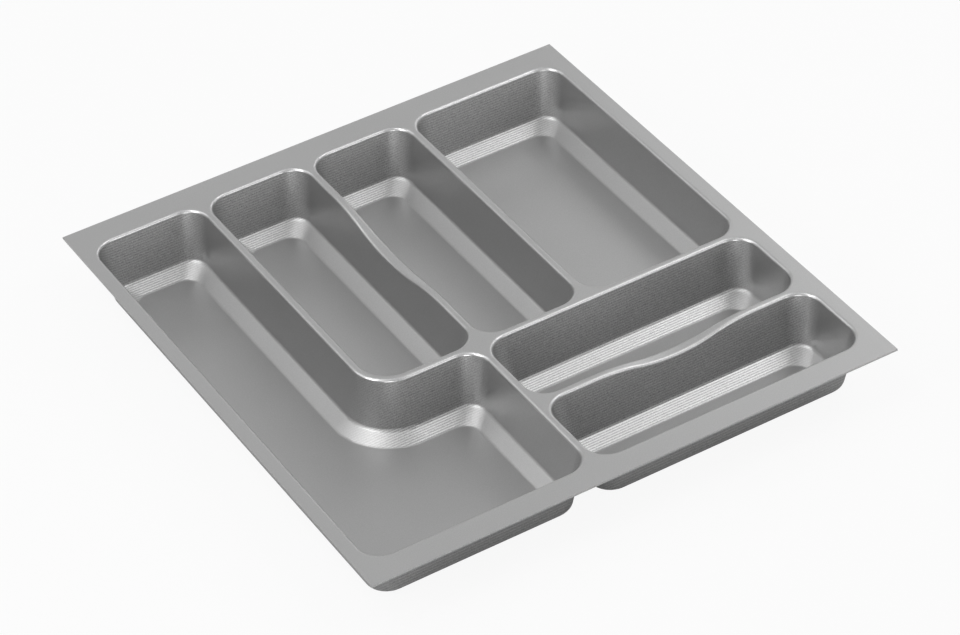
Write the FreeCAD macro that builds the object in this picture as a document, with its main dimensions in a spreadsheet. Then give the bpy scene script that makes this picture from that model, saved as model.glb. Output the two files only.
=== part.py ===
import FreeCAD, Part
import math
import os
import re

import Sketcher

# A drawer tray for cutlery: one plastic sheet drawn down into six drafted compartments.
# Frame: +X to the right along the front edge, +Y to the back, +Z up; the floors stand on Z = 0.

SIZES = {
    # the whole sheet
    "tray_width": 455.0,
    "tray_depth": 490.0,
    "tray_height": 52.0,
    "sheet_thickness": 1.5,
    # flat flange outside the compartments
    "left_margin": 10.0,
    "right_margin": 11.3,
    "front_margin": 20.0,
    "back_margin": 22.5,
    # compartments, between the deck lines where the flat deck turns into a lip
    "column_width": 99.8,
    "slot_width": 93.2,
    "foot_length": 189.7,
    "cross_depth": 82.4,
    "crown_flat": 1.7,
    # section of a compartment from its lip down to its floor
    "lip_bend": 1.0,
    "wall_lean": 7.95,
    "bevel_run": 11.85,
    "bevel_rise": 7.4,
    "foot_blend": 4.0,
    "floor_blend": 4.0,
    # plan corners at the deck line, the wall's foot and the floor
    "deck_corner": 21.5,
    "foot_corner": 16.0,
    "floor_corner": 15.0,
    # how much rounder the corner is that the L-shaped compartment bends round
    "elbow_extra": 6.0,
    # dips in the two saddle dividers
    "saddle_dip": 8.0,
    "long_saddle_span": 170.0,
    "cross_saddle_span": 140.0,
    # how far a cutting body runs past what it cuts
    "overrun": 5.0,
}

# Sizes worked out from those above, each by a formula that the document keeps.
WORKED = {
    "lip_radius": "lip_bend + sheet_thickness",
    "wall_height": "tray_height - sheet_thickness - bevel_rise",
    "lean_share": "wall_lean / wall_height",
    "setback_share": "sqrt(1 + lean_share ^ 2) - lean_share",
    "wall_angle": "atan(wall_height / wall_lean)",
    "bevel_angle": "atan(bevel_rise / bevel_run)",
    "half_sum": "(wall_angle + bevel_angle) / 2",
    "half_gap": "(wall_angle - bevel_angle) / 2",
    # upper face of the sheet: insets from the deck line, and heights
    "top_edge_inset": "lip_radius * setback_share",
    "top_foot_inset": "top_edge_inset + wall_lean",
    "top_floor_inset": "top_foot_inset + bevel_run",
    "top_foot_level": "sheet_thickness + bevel_rise",
    # lower face of the sheet, one thickness away
    "under_deck_level": "tray_height - sheet_thickness",
    "under_edge_inset": "lip_bend * setback_share",
    "under_foot_inset": "top_foot_inset - sheet_thickness * sin(half_sum) / cos(half_gap)",
    "under_floor_inset": "top_floor_inset - sheet_thickness * tan(bevel_angle / 2)",
    "under_foot_level": "top_foot_level - sheet_thickness * cos(half_sum) / cos(half_gap)",
    "under_foot_corner": "foot_corner + top_foot_inset - under_foot_inset",
    "under_floor_corner": "floor_corner + top_floor_inset - under_floor_inset",
    # both sides of the elbow at the deck line, and the height where lips are parted from walls
    "elbow_corner": "deck_corner + elbow_extra",
    "bend_corner": "elbow_corner + crown_flat",
    "split_level": "tray_height - lip_radius",
    # deck lines, from the front left corner of the tray
    "column_right": "left_margin + column_width",
    "slot_a_left": "column_right + crown_flat",
    "slot_a_right": "slot_a_left + slot_width",
    "slot_b_left": "slot_a_right + crown_flat",
    "slot_b_right": "slot_b_left + slot_width",
    "wide_left": "slot_b_right + crown_flat",
    "inner_right": "tray_width - right_margin",
    "foot_right": "left_margin + foot_length",
    "cross_left": "foot_right + crown_flat",
    "front_slot_back": "front_margin + cross_depth",
    "rear_slot_front": "front_slot_back + crown_flat",
    "rear_slot_back": "rear_slot_front + cross_depth",
    "back_row_front": "rear_slot_back + crown_flat",
    "inner_back": "tray_depth - back_margin",
    # middle lines of the dividers, where their straight runs end, and the saddles along them
    "left_divider_line": "column_right + crown_flat / 2",
    "long_saddle_line": "slot_a_right + crown_flat / 2",
    "right_divider_line": "slot_b_right + crown_flat / 2",
    "cross_saddle_line": "front_slot_back + crown_flat / 2",
    "row_line": "rear_slot_back + crown_flat / 2",
    "foot_line": "foot_right + crown_flat / 2",
    "column_middle": "left_margin + column_width / 2",
    "slot_a_middle": "slot_a_left + slot_width / 2",
    "slot_b_middle": "slot_b_left + slot_width / 2",
    "wide_middle": "(wide_left + inner_right) / 2",
    "front_slot_middle": "front_margin + cross_depth / 2",
    "rear_slot_middle": "rear_slot_front + cross_depth / 2",
    "foot_straight_right": "foot_right - deck_corner",
    "foot_straight_front": "front_margin + deck_corner",
    "foot_straight_back": "rear_slot_back - deck_corner",
    "straight_front": "back_row_front + elbow_corner",
    "straight_back": "inner_back - deck_corner",
    "straight_left": "cross_left + deck_corner",
    "straight_right": "inner_right - deck_corner",
    "long_saddle_start": "(back_row_front + inner_back - long_saddle_span) / 2",
    "cross_saddle_start": "(cross_left + inner_right - cross_saddle_span) / 2",
    "long_saddle_radius": "(long_saddle_span ^ 2 / 4 + saddle_dip ^ 2) / (4 * saddle_dip)",
    "cross_saddle_radius": "(cross_saddle_span ^ 2 / 4 + saddle_dip ^ 2) / (4 * saddle_dip)",
}


def with_sheets(formula):
    """The formula with its sheet written before each size."""

    def place(word):
        name = word.group()
        if name in SIZES:
            return "Sizes." + name
        return "Worked." + name if name in WORKED else name

    return re.sub(r"[a-z_]+", place, formula)


# Geometric tolerance in millimetres, and the least angle in radians that counts as an edge.
NEAR = 1e-4
SHARP_ANGLE = 0.05

doc = FreeCAD.newDocument("CutleryTray")

sizes = doc.addObject("Spreadsheet::Sheet", "Sizes")
for row, (alias, number) in enumerate(SIZES.items(), start=1):
    sizes.set(f"A{row}", alias)
    sizes.set(f"B{row}", str(number))
    sizes.setAlias(f"B{row}", alias)
doc.recompute()

worked = doc.addObject("Spreadsheet::Sheet", "Worked")
for row, alias in enumerate(WORKED, start=1):
    worked.set(f"A{row}", alias)
    worked.setAlias(f"B{row}", alias)
for row, formula in enumerate(WORKED.values(), start=1):
    worked.set(f"B{row}", "=" + with_sheets(formula).replace("Worked.", ""))
doc.recompute()


def value(formula):
    """What a formula comes to now."""
    return float(sizes.evalExpression(with_sheets(formula)))


def bind(thing, **formulas):
    """Binds properties; a place in the frame is written with two underscores for each dot."""
    for name, formula in formulas.items():
        thing.setExpression(name.replace("__", "."), with_sheets(formula))


def plane(body, role):
    return next(item for item in body.Origin.OriginFeatures if item.Role == role)


def sketch_on(body, name, role, x, y, z):
    """A sketch on one of the body's own planes, its origin moved by x, y and along the normal by z."""
    sketch = body.newObject("Sketcher::SketchObject", name)
    sketch.AttachmentSupport = (plane(body, role), "")
    sketch.MapMode = "FlatFace"
    bind(sketch, AttachmentOffset__Base__x=x, AttachmentOffset__Base__y=y, AttachmentOffset__Base__z=z)
    return sketch


def dimension(sketch, formula, *constraint):
    """A constraint whose value stays bound to a formula."""
    number = sketch.addConstraint(Sketcher.Constraint(*constraint, value(formula)))
    sketch.setExpression(f"Constraints[{number}]", with_sheets(formula))


# Each compartment's deck lines, counter-clockwise from its front one: axis, place, side of the hollow.
def rectangle(left, right, front, back):
    return (("y", front, "+"), ("x", right, "-"), ("y", back, "-"), ("x", left, "+"))


COMPARTMENTS = {
    "l_shaped": (
        ("y", "front_margin", "+"),
        ("x", "foot_right", "-"),
        ("y", "rear_slot_back", "-"),
        ("x", "column_right", "-"),
        ("y", "inner_back", "-"),
        ("x", "left_margin", "+"),
    ),
    "left_slot": rectangle("slot_a_left", "slot_a_right", "back_row_front", "inner_back"),
    "right_slot": rectangle("slot_b_left", "slot_b_right", "back_row_front", "inner_back"),
    "wide": rectangle("wide_left", "inner_right", "back_row_front", "inner_back"),
    "rear_cross": rectangle("cross_left", "inner_right", "rear_slot_front", "rear_slot_back"),
    "front_cross": rectangle("cross_left", "inner_right", "front_margin", "front_slot_back"),
}

# The two deck lines of the left slot that meet at the elbow.
ELBOW = {"slot_a_left", "back_row_front"}

# Where each saddle's side view lies: plane, start along the divider, and the divider's line.
SADDLES = {
    "long": ("YZ_Plane", "long_saddle_start - tray_depth / 2", "long_saddle_line - tray_width / 2"),
    "cross": ("XZ_Plane", "cross_saddle_start - tray_width / 2", "tray_depth / 2 - cross_saddle_line"),
}

START, END, CENTRE = 1, 2, 3
ORIGIN, ACROSS, UP = -1, -1, -2


def outline(body, name, lines, level, inset, corner):
    """Rounded outline of a compartment at one level, inset from its deck lines."""
    sketch = sketch_on(body, name, "XY_Plane", "-tray_width / 2", "-tray_depth / 2", level)
    places = [f"{place} {side} {inset}" for _, place, side in lines]
    count = len(lines)
    points = []
    for i in range(count):
        across, along = (i, i - 1) if lines[i][0] == "x" else (i - 1, i)
        points.append(FreeCAD.Vector(value(places[across]), value(places[along])))
    runs = [(points[(i + 1) % count] - points[i]).normalize() for i in range(count)]
    turns = [runs[i - 1].cross(runs[i]).z for i in range(count)]
    radii = [corner if turn > 0 else f"bend_corner + {inset}" for turn in turns]
    for i in range(count):
        if {lines[i - 1][1], lines[i][1]} == ELBOW:
            radii[i] += " + elbow_extra"
    for i in range(count):
        start = points[i] + runs[i] * value(radii[i])
        end = points[(i + 1) % count] - runs[i] * value(radii[(i + 1) % count])
        sketch.addGeometry(Part.LineSegment(start, end))
        sketch.addConstraint(Sketcher.Constraint("Vertical" if lines[i][0] == "x" else "Horizontal", i))
        kind = "DistanceX" if lines[i][0] == "x" else "DistanceY"
        dimension(sketch, places[i], kind, ORIGIN, START, i, START)
    for i in range(count):
        radius = value(radii[i])
        before, after = points[i] - runs[i - 1] * radius, points[i] + runs[i] * radius
        centre = before + runs[i] * radius
        middle = centre + (points[i] - centre).normalize() * radius
        arc = sketch.addGeometry(Part.Arc(before, middle, after))
        first, last = (START, END) if turns[i] > 0 else (END, START)
        sketch.addConstraint(Sketcher.Constraint("Tangent", (i - 1) % count, END, arc, first))
        sketch.addConstraint(Sketcher.Constraint("Tangent", arc, last, i, START))
        dimension(sketch, radii[i], "Radius", arc)
    return sketch


def sink_compartment(body, name, lines, levels):
    """Cuts a compartment out of a form: drafted wall first, then the bevel down to the floor."""
    sections = [
        outline(body, f"{body.Name}_{name}_{i}", lines, *level) for i, level in enumerate(levels)
    ]
    hollow = body.newObject("PartDesign::SubtractiveLoft", f"{body.Name}_{name}")
    hollow.Profile = sections[0]
    hollow.Sections = sections[1:]
    hollow.Ruled = True


def saddle_outline(body, name, saddle, level):
    """Side view of a dip: two shoulders and a bottom, tangent arcs of one radius."""
    role, along, across = SADDLES[saddle]
    sketch = sketch_on(body, name, role, along, level, across)
    span, radius_name = f"{saddle}_saddle_span", f"{saddle}_saddle_radius"
    length, radius, top, dip = value(span), value(radius_name), value("overrun"), value("saddle_dip")
    middle = length / 2
    quarter = middle / 2
    eighth = quarter / 2
    fall = radius - math.sqrt(radius**2 - eighth**2)

    def spot(x, y):
        return FreeCAD.Vector(x, y)

    near_join, far_join = spot(quarter, -dip / 2), spot(length - quarter, -dip / 2)
    left = sketch.addGeometry(Part.LineSegment(spot(0, 0), spot(0, top)))
    lid = sketch.addGeometry(Part.LineSegment(spot(0, top), spot(length, top)))
    right = sketch.addGeometry(Part.LineSegment(spot(length, top), spot(length, 0)))
    near = sketch.addGeometry(Part.Arc(near_join, spot(eighth, -fall), spot(0, 0)))
    bottom = sketch.addGeometry(Part.Arc(near_join, spot(middle, -dip), far_join))
    far = sketch.addGeometry(Part.Arc(spot(length, 0), spot(length - eighth, -fall), far_join))
    joins = (
        ("Coincident", left, END, lid, START),
        ("Coincident", lid, END, right, START),
        ("Coincident", left, START, near, END),
        ("Coincident", right, END, far, START),
        ("Tangent", near, START, bottom, START),
        ("Tangent", bottom, END, far, END),
        ("Horizontal", lid),
        ("Vertical", left),
        ("Vertical", right),
        ("PointOnObject", left, START, UP),
        ("PointOnObject", left, START, ACROSS),
        ("PointOnObject", right, END, ACROSS),
        ("PointOnObject", near, CENTRE, UP),
        ("Vertical", far, CENTRE, right, END),
    )
    for join in joins:
        sketch.addConstraint(Sketcher.Constraint(*join))
    dimension(sketch, span, "DistanceX", lid, START, lid, END)
    dimension(sketch, "overrun", "DistanceY", left, START, left, END)
    for arc in (near, bottom, far):
        dimension(sketch, radius_name, "Radius", arc)
    return sketch


def saddle_feature(body, kind, saddle, level):
    """A prism over the dip, from the middle of one neighbouring hollow to the middle of the other."""
    name = f"{body.Name}_{saddle}_saddle"
    feature = body.newObject(kind, name)
    feature.Profile = saddle_outline(body, name + "_outline", saddle, level)
    feature.SideType = "Symmetric"
    bind(feature, Length="slot_width" if saddle == "long" else "cross_depth")


def block(body, low, high, spare):
    """A block over the tray's plan, from one level to another, larger by spare on every side."""
    box = body.newObject("PartDesign::AdditiveBox", f"{body.Name}_block")
    bind(
        box,
        Length=f"tray_width + 2 * {spare}",
        Width=f"tray_depth + 2 * {spare}",
        Height=f"{high} - ({low})",
        Placement__Base__x=f"-tray_width / 2 - {spare}",
        Placement__Base__y=f"-tray_depth / 2 - {spare}",
        Placement__Base__z=low,
    )


def is_sharp(shape, edge):
    """Whether the two faces at an edge meet at an angle."""
    middle = edge.valueAt((edge.FirstParameter + edge.LastParameter) / 2)
    normals = [
        face.normalAt(*face.Surface.parameter(middle)) for face in shape.ancestorsOfType(edge, Part.Face)
    ]
    return len(normals) == 2 and normals[0].getAngle(normals[1]) > SHARP_ANGLE


def inner_edges(shape, low, high):
    """Names of the sharp edges inside the flange that lie between two heights."""
    side, end = value("tray_width / 2") - NEAR, value("tray_depth / 2") - NEAR
    names = []
    for number, edge in enumerate(shape.Edges, start=1):
        box = edge.BoundBox
        within = max(-box.XMin, box.XMax) < side and max(-box.YMin, box.YMax) < end
        level = box.ZMin > low - NEAR and box.ZMax < high + NEAR
        if within and level and is_sharp(shape, edge):
            names.append(f"Edge{number}")
    return names


def soften(body, name, radius, low, high):
    """Rounds the inner edges between two heights."""
    doc.recompute()
    base = body.Tip
    rounding = body.newObject("PartDesign::Fillet", f"{body.Name}_{name}")
    rounding.Base = (base, inner_edges(base.Shape, value(low), value(high)))
    bind(rounding, Radius=radius)


def form(name, deck, levels, lip, foot, floor):
    """The solid under one face of the sheet: a block with its compartments, saddles and roundings."""
    body = doc.addObject("PartDesign::Body", name)
    block(body, "-overrun", deck, "0")
    for label, lines in COMPARTMENTS.items():
        sink_compartment(body, label, lines, levels)
    for saddle in ("long", "cross"):
        saddle_feature(body, "PartDesign::Pocket", saddle, deck)
    foot_level, floor_level = levels[1][0], levels[2][0]
    soften(body, "floor_blend", floor, floor_level, floor_level)
    soften(body, "foot_blend", foot, foot_level, foot_level)
    soften(body, "lips", lip, f"{deck} - saddle_dip", deck)
    return body


def boolean(kind, name, base, tool):
    result = doc.addObject(kind, name)
    result.Base, result.Tool = base, tool
    return result


def cell(name, left, right, front, back):
    """A box over part of the plan, taller than the tray."""
    box = doc.addObject("Part::Box", name + "_cell")
    bind(
        box,
        Length=f"{right} - ({left})",
        Width=f"{back} - ({front})",
        Height="tray_height + 2 * overrun",
        Placement__Base__x=f"{left} - tray_width / 2",
        Placement__Base__y=f"{front} - tray_depth / 2",
        Placement__Base__z="-overrun",
    )
    return box


def plan_prism(name, lines):
    """A prism on a compartment's deck lines, taller than the tray."""
    body = doc.addObject("PartDesign::Body", name + "_cell")
    prism = body.newObject("PartDesign::Pad", name + "_prism")
    prism.Profile = outline(body, name + "_plan", lines, "-overrun", "0", "deck_corner")
    bind(prism, Length="tray_height + 2 * overrun")
    return body


# The sheet is what lies between the form of its upper face and the form of its lower face.
upper_form = form(
    "Upper",
    "tray_height",
    (
        ("tray_height", "top_edge_inset", "deck_corner - top_edge_inset"),
        ("top_foot_level", "top_foot_inset", "foot_corner"),
        ("sheet_thickness", "top_floor_inset", "floor_corner"),
    ),
    "lip_radius",
    "foot_blend",
    "floor_blend",
)
lower_form = form(
    "Lower",
    "under_deck_level",
    (
        ("under_deck_level", "under_edge_inset", "deck_corner - under_edge_inset"),
        ("under_foot_level", "under_foot_inset", "under_foot_corner"),
        ("0", "under_floor_inset", "under_floor_corner"),
    ),
    "lip_bend",
    "foot_blend + sheet_thickness",
    "floor_blend + sheet_thickness",
)
formed_sheet = boolean("Part::Cut", "FormedSheet", upper_form, lower_form)

# Lips and flat deck lie above the split, which follows the saddles; the compartment tubs lie below it.
lip_zone = doc.addObject("PartDesign::Body", "LipZone")
block(lip_zone, "split_level", "tray_height + overrun", "overrun")
for saddle in ("long", "cross"):
    saddle_feature(lip_zone, "PartDesign::Pad", saddle, "split_level")
lip_layer = boolean("Part::Common", "LipLayer", formed_sheet, lip_zone)
tub_layer = boolean("Part::Cut", "TubLayer", formed_sheet, lip_zone)

tubs = [
    boolean("Part::Common", name + "_tub", tub_layer, plan_prism(name, lines))
    for name, lines in COMPARTMENTS.items()
]

# Left, right, front and back bounds of each divider's crown in plan; the rest is the rim.
DIVIDERS = {
    "left_long_divider": ("column_middle", "slot_a_middle", "straight_front", "straight_back"),
    "saddle_long_divider": ("slot_a_middle", "slot_b_middle", "straight_front", "straight_back"),
    "right_long_divider": ("slot_b_middle", "wide_middle", "straight_front", "straight_back"),
    "row_divider": ("column_middle", "straight_right", "foot_straight_back", "straight_front"),
    "foot_divider": ("foot_straight_right", "straight_left", "foot_straight_front", "foot_straight_back"),
    "saddle_cross_divider": ("straight_left", "straight_right", "front_slot_middle", "rear_slot_middle"),
}
boxes = [cell(name, *bounds) for name, bounds in DIVIDERS.items()]
dividers = [boolean("Part::Common", name, lip_layer, box) for name, box in zip(DIVIDERS, boxes)]
divider_cells = doc.addObject("Part::MultiFuse", "DividerCells")
divider_cells.Shapes = boxes
rim = boolean("Part::Cut", "rim_flange", lip_layer, divider_cells)
pieces = [rim, *tubs, *dividers]
doc.recompute()

faults = [item.Name for item in doc.Objects if {"Invalid", "Error"} & set(item.State)]
for piece in pieces:
    if piece.Shape.isNull() or not piece.Shape.isValid() or len(piece.Shape.Solids) != 1:
        faults.append(piece.Label)
if faults:
    raise RuntimeError("these did not build: " + ", ".join(faults))

os.makedirs("parts", exist_ok=True)
for piece in pieces:
    piece.Shape.exportStep(f"parts/{piece.Label}.step")
    print(piece.Label, round(piece.Shape.Volume), len(piece.Shape.Faces))
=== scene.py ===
"""Looks of the grey cutlery tray: one formed sheet of satin plastic with fine drawn lines in its tubs."""

import math

import bpy
from mathutils import Matrix, Vector


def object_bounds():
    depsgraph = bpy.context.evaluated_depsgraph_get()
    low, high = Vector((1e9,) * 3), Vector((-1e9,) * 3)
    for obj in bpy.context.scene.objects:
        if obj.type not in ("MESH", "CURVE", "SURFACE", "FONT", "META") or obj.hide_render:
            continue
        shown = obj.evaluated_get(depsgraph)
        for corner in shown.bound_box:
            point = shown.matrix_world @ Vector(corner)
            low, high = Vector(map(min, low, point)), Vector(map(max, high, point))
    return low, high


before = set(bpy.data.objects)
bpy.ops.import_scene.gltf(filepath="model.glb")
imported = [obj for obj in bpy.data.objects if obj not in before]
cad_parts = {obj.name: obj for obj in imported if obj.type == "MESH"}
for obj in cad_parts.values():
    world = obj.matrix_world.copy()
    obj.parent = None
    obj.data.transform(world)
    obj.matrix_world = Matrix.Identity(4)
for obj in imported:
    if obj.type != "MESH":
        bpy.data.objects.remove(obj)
cad_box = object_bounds()

MM = 0.001
WHITE = (1, 1, 1, 1)

# Where the photograph was taken from, in degrees and metres, with sensor and lens in millimetres
VIEW_AZIMUTH = -28.740
VIEW_ELEVATION = 38.864
VIEW_ROLL = 4.073
VIEW_POINT = Vector((-1.08430, -1.99300, 1.85405))
SENSOR_WIDTH = 36.0
LENS = 141.294

# The sheet's finish: silver-grey plastic with a metal effect
PLASTIC_GREY = 0.42
PLASTIC_METALLIC = 1.0
DECK_ROUGHNESS = 0.52
TUB_ROUGHNESS = 0.46

# Lips and edges of the deck, painted paler as a highlight and smoother than its level part
LIP_SHARPNESS = 4
LIP_PAINTED_HIGHLIGHT = 0.3
LIP_GLOSS = 0.45

# Fine lines across the tubs, strongest on the bevels and weaker on the walls
LINE_PITCH = 2.6 * MM
LINE_DEPTH = 0.03 * MM
LINE_SHADE = 0.27
LINE_JITTER = 2.5
SLOPE_SHARPNESS = 2
WALL_LINES = 0.4

# Specks and clouds of tone all over the sheet
NOISE_MIDDLE = 0.5
SPECK_SIZE = 0.8 * MM
SPECK_DETAIL = 1.0
SPECK_SHADE = 0.9
SPECK_LEVEL = 0.3
CLOUD_SIZE = 60 * MM
CLOUD_DETAIL = 3.0
CLOUD_SHADE = 0.05

# The studio: floor and world
FLOOR_SIZE = 40.0
FLOOR_GAP = 0.2 * MM
FLOOR_GREY = (0.5, 0.5, 0.5, 1)
FLOOR_WHITE = 0.92
GLOSSY_SHARE = 0.1
WORLD_LIGHT = 0.555

# Soft boxes: turn from +X and rise in degrees, distance and width in metres,
# and the light that reaches the tray in watts per square metre
NEAR = 1.7
FAR = 8.0
SOFT_BOXES = {
    "left": (190, 35, NEAR, 0.6, 0.92),
    "left_back": (145, 35, FAR, 2.8, 0.21),
    "high_left": (193, 66, FAR, 2.0, 0.33),
    "high_left_back": (150, 66, NEAR, 0.45, 0.37),
    "right": (340, 45, NEAR, 0.6, 0.50),
    "high_right": (315, 58, FAR, 2.8, 0.33),
    "back_right": (35, 33, NEAR, 0.6, 0.29),
    "back_low": (75, 20, NEAR, 0.6, 0.12),
    "front_left_low": (240, 6, FAR, 2.8, 0.61),
    "front_right_low": (290, 6, FAR, 2.8, 0.29),
}


class Shade:
    """A socket in a node tree; sums and products of it add the Math nodes."""

    def __init__(self, tree, socket):
        self.tree = tree
        self.socket = socket

    def maths(self, operation, *values):
        return self.tree.node("ShaderNodeMath", {"operation": operation}, dict(enumerate(values)))

    def __add__(self, other):
        return self.maths("ADD", self, other)

    def __sub__(self, other):
        return self.maths("SUBTRACT", self, other)

    def __rsub__(self, other):
        return self.maths("SUBTRACT", other, self)

    def __mul__(self, other):
        return self.maths("MULTIPLY", self, other)

    def __pow__(self, other):
        return self.maths("POWER", self, other)

    def __abs__(self):
        return self.maths("ABSOLUTE", self)

    __radd__ = __add__
    __rmul__ = __mul__

    def sine(self):
        return self.maths("SINE", self)


class Tree:
    """The node tree of one material or of the world."""

    def __init__(self, owner):
        owner.use_nodes = True
        self.tree = owner.node_tree
        self.tree.nodes.clear()

    def node(self, kind, settings=None, sockets=None, output=0):
        made = self.tree.nodes.new(kind)
        for name, setting in (settings or {}).items():
            setattr(made, name, setting)
        for name, value in (sockets or {}).items():
            if isinstance(value, Shade):
                self.tree.links.new(value.socket, made.inputs[name])
            else:
                made.inputs[name].default_value = value
        return Shade(self, made.outputs[output]) if made.outputs else None

    def part_of(self, vector, axis):
        return self.node("ShaderNodeSeparateXYZ", sockets={0: vector}, output=axis)

    def noise(self, place, size, detail):
        """Noise with lumps of the given size, half above and half below zero."""
        sockets = {"Vector": place, "Scale": 1 / size, "Detail": detail}
        return self.node("ShaderNodeTexNoise", sockets=sockets) - NOISE_MIDDLE

    def facing(self):
        """How far the sheet faces to the front or back, and how far up or down."""
        normal = self.node("ShaderNodeNewGeometry", output="Normal")
        return abs(self.part_of(normal, "Y")), abs(self.part_of(normal, "Z"))

    def background_seen(self):
        """Where the camera looks at the studio, and in part where the tray mirrors it."""
        camera = self.node("ShaderNodeLightPath", output="Is Camera Ray")
        glossy = self.node("ShaderNodeLightPath", output="Is Glossy Ray")
        return camera + glossy * GLOSSY_SHARE

    def plastic(self, tone, roughness, **bumped):
        sockets = {"Base Color": PLASTIC_GREY * tone, "Metallic": PLASTIC_METALLIC, "Roughness": roughness}
        shader = self.node("ShaderNodeBsdfPrincipled", sockets={**sockets, **bumped})
        self.node("ShaderNodeOutputMaterial", sockets={"Surface": shader})


def deck_plastic():
    """Satin plastic of the rim and the dividers, painted paler as a highlight and smoother where their
    lips bend away from level.
    """
    material = bpy.data.materials.new("deck_plastic")
    tree = Tree(material)
    place = tree.node("ShaderNodeTexCoord", output="Object")
    faces_y, faces_z = tree.facing()
    grain = tree.noise(place, SPECK_SIZE, SPECK_DETAIL) * SPECK_SHADE * (SPECK_LEVEL + faces_y)
    clouded = 1 + tree.noise(place, CLOUD_SIZE, CLOUD_DETAIL) * CLOUD_SHADE
    # Lips are painted paler as a highlight where the sheet bends away from level, and made smoother there
    lips = 1 - faces_z ** LIP_SHARPNESS
    tree.plastic(clouded + grain + lips * LIP_PAINTED_HIGHLIGHT, DECK_ROUGHNESS * (clouded - lips * LIP_GLOSS))
    return material


def tub_plastic():
    """Satin plastic of the tubs, whose lines run across the tray and show where the sheet isn't level."""
    material = bpy.data.materials.new("tub_plastic")
    tree = Tree(material)
    place = tree.node("ShaderNodeTexCoord", output="Object")
    faces_y, faces_z = tree.facing()
    specks = tree.noise(place, SPECK_SIZE, SPECK_DETAIL)
    grain = specks * SPECK_SHADE * (SPECK_LEVEL + faces_y)
    clouded = 1 + tree.noise(place, CLOUD_SIZE, CLOUD_DETAIL) * CLOUD_SHADE
    # One on a slope of 45 degrees to the front or back, and nothing on level or upright sheet
    slope = (2 * faces_y * faces_z) ** SLOPE_SHARPNESS
    down_the_sheet = tree.part_of(place, "Y") + tree.part_of(place, "Z")
    waves = (down_the_sheet * (2 * math.pi / LINE_PITCH) + specks * LINE_JITTER).sine()
    lines = waves * (slope + WALL_LINES * faces_y)
    bump = tree.node("ShaderNodeBump", {"invert": True}, {"Distance": LINE_DEPTH, "Height": lines})
    tree.plastic(clouded + grain - lines * LINE_SHADE, TUB_ROUGHNESS * clouded, Normal=bump)
    return material


def pale_floor():
    """A wide floor just under the tray, white to the camera and grey to the light that it throws back."""
    bpy.ops.mesh.primitive_plane_add(size=FLOOR_SIZE, location=(0, 0, cad_box[0].z - FLOOR_GAP))
    floor = bpy.context.object
    floor.name = "studio_floor"
    material = bpy.data.materials.new("studio_floor")
    tree = Tree(material)
    seen = tree.background_seen() * FLOOR_WHITE
    matt = tree.node("ShaderNodeBsdfDiffuse", sockets={"Color": FLOOR_GREY})
    white = tree.node("ShaderNodeEmission", sockets={"Color": WHITE})
    both = tree.node("ShaderNodeMixShader", sockets={0: seen, 1: matt, 2: white})
    tree.node("ShaderNodeOutputMaterial", sockets={"Surface": both})
    floor.data.materials.append(material)


def studio_world():
    """Even light from all sides, in front of a white background."""
    world = bpy.data.worlds.new("studio")
    bpy.context.scene.world = world
    tree = Tree(world)
    light = tree.node("ShaderNodeBackground", sockets={"Color": WHITE, "Strength": WORLD_LIGHT})
    white = tree.node("ShaderNodeBackground", sockets={"Color": WHITE})
    both = tree.node("ShaderNodeMixShader", sockets={0: tree.background_seen(), 1: light, 2: white})
    tree.node("ShaderNodeOutputWorld", sockets={"Surface": both})


def soft_box(name, turn, rise, distance, width, light):
    """A round soft light that looks at the middle of the tray."""
    data = bpy.data.lights.new(name, "AREA")
    data.shape = "DISK"
    data.size = width
    data.energy = light * math.pi * distance**2
    lamp = bpy.data.objects.new(name, data)
    bpy.context.scene.collection.objects.link(lamp)
    turn = math.radians(turn)
    rise = math.radians(rise)
    towards = Vector((math.cos(rise) * math.cos(turn), math.cos(rise) * math.sin(turn), math.sin(rise)))
    lamp.location = towards * distance
    lamp.rotation_euler = towards.to_track_quat("Z", "Y").to_euler()


def photograph_camera():
    """The camera of the photograph, rolled a little to the side."""
    data = bpy.data.cameras.new("photograph")
    data.sensor_fit = "HORIZONTAL"
    data.sensor_width = SENSOR_WIDTH
    data.lens = LENS
    camera = bpy.data.objects.new("photograph", data)
    bpy.context.scene.collection.objects.link(camera)
    turn = math.radians(VIEW_AZIMUTH)
    rise = math.radians(VIEW_ELEVATION)
    roll = math.radians(VIEW_ROLL)
    right = Vector((math.cos(turn), math.sin(turn), 0))
    back = Vector((math.sin(turn) * math.cos(rise), -math.cos(turn) * math.cos(rise), math.sin(rise)))
    up = back.cross(right)
    rolled_right = math.cos(roll) * right - math.sin(roll) * up
    rolled_up = math.sin(roll) * right + math.cos(roll) * up
    axes = Matrix((rolled_right, rolled_up, back)).transposed().to_4x4()
    camera.matrix_world = Matrix.Translation(VIEW_POINT) @ axes
    bpy.context.scene.camera = camera


deck = deck_plastic()
tubs = tub_plastic()
for name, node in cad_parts.items():
    node.data.materials.clear()
    node.data.materials.append(tubs if name.endswith("_tub") else deck)

pale_floor()
studio_world()
for name, box in SOFT_BOXES.items():
    soft_box(name, *box)
photograph_camera()

bpy.context.scene.view_settings.view_transform = "Standard"
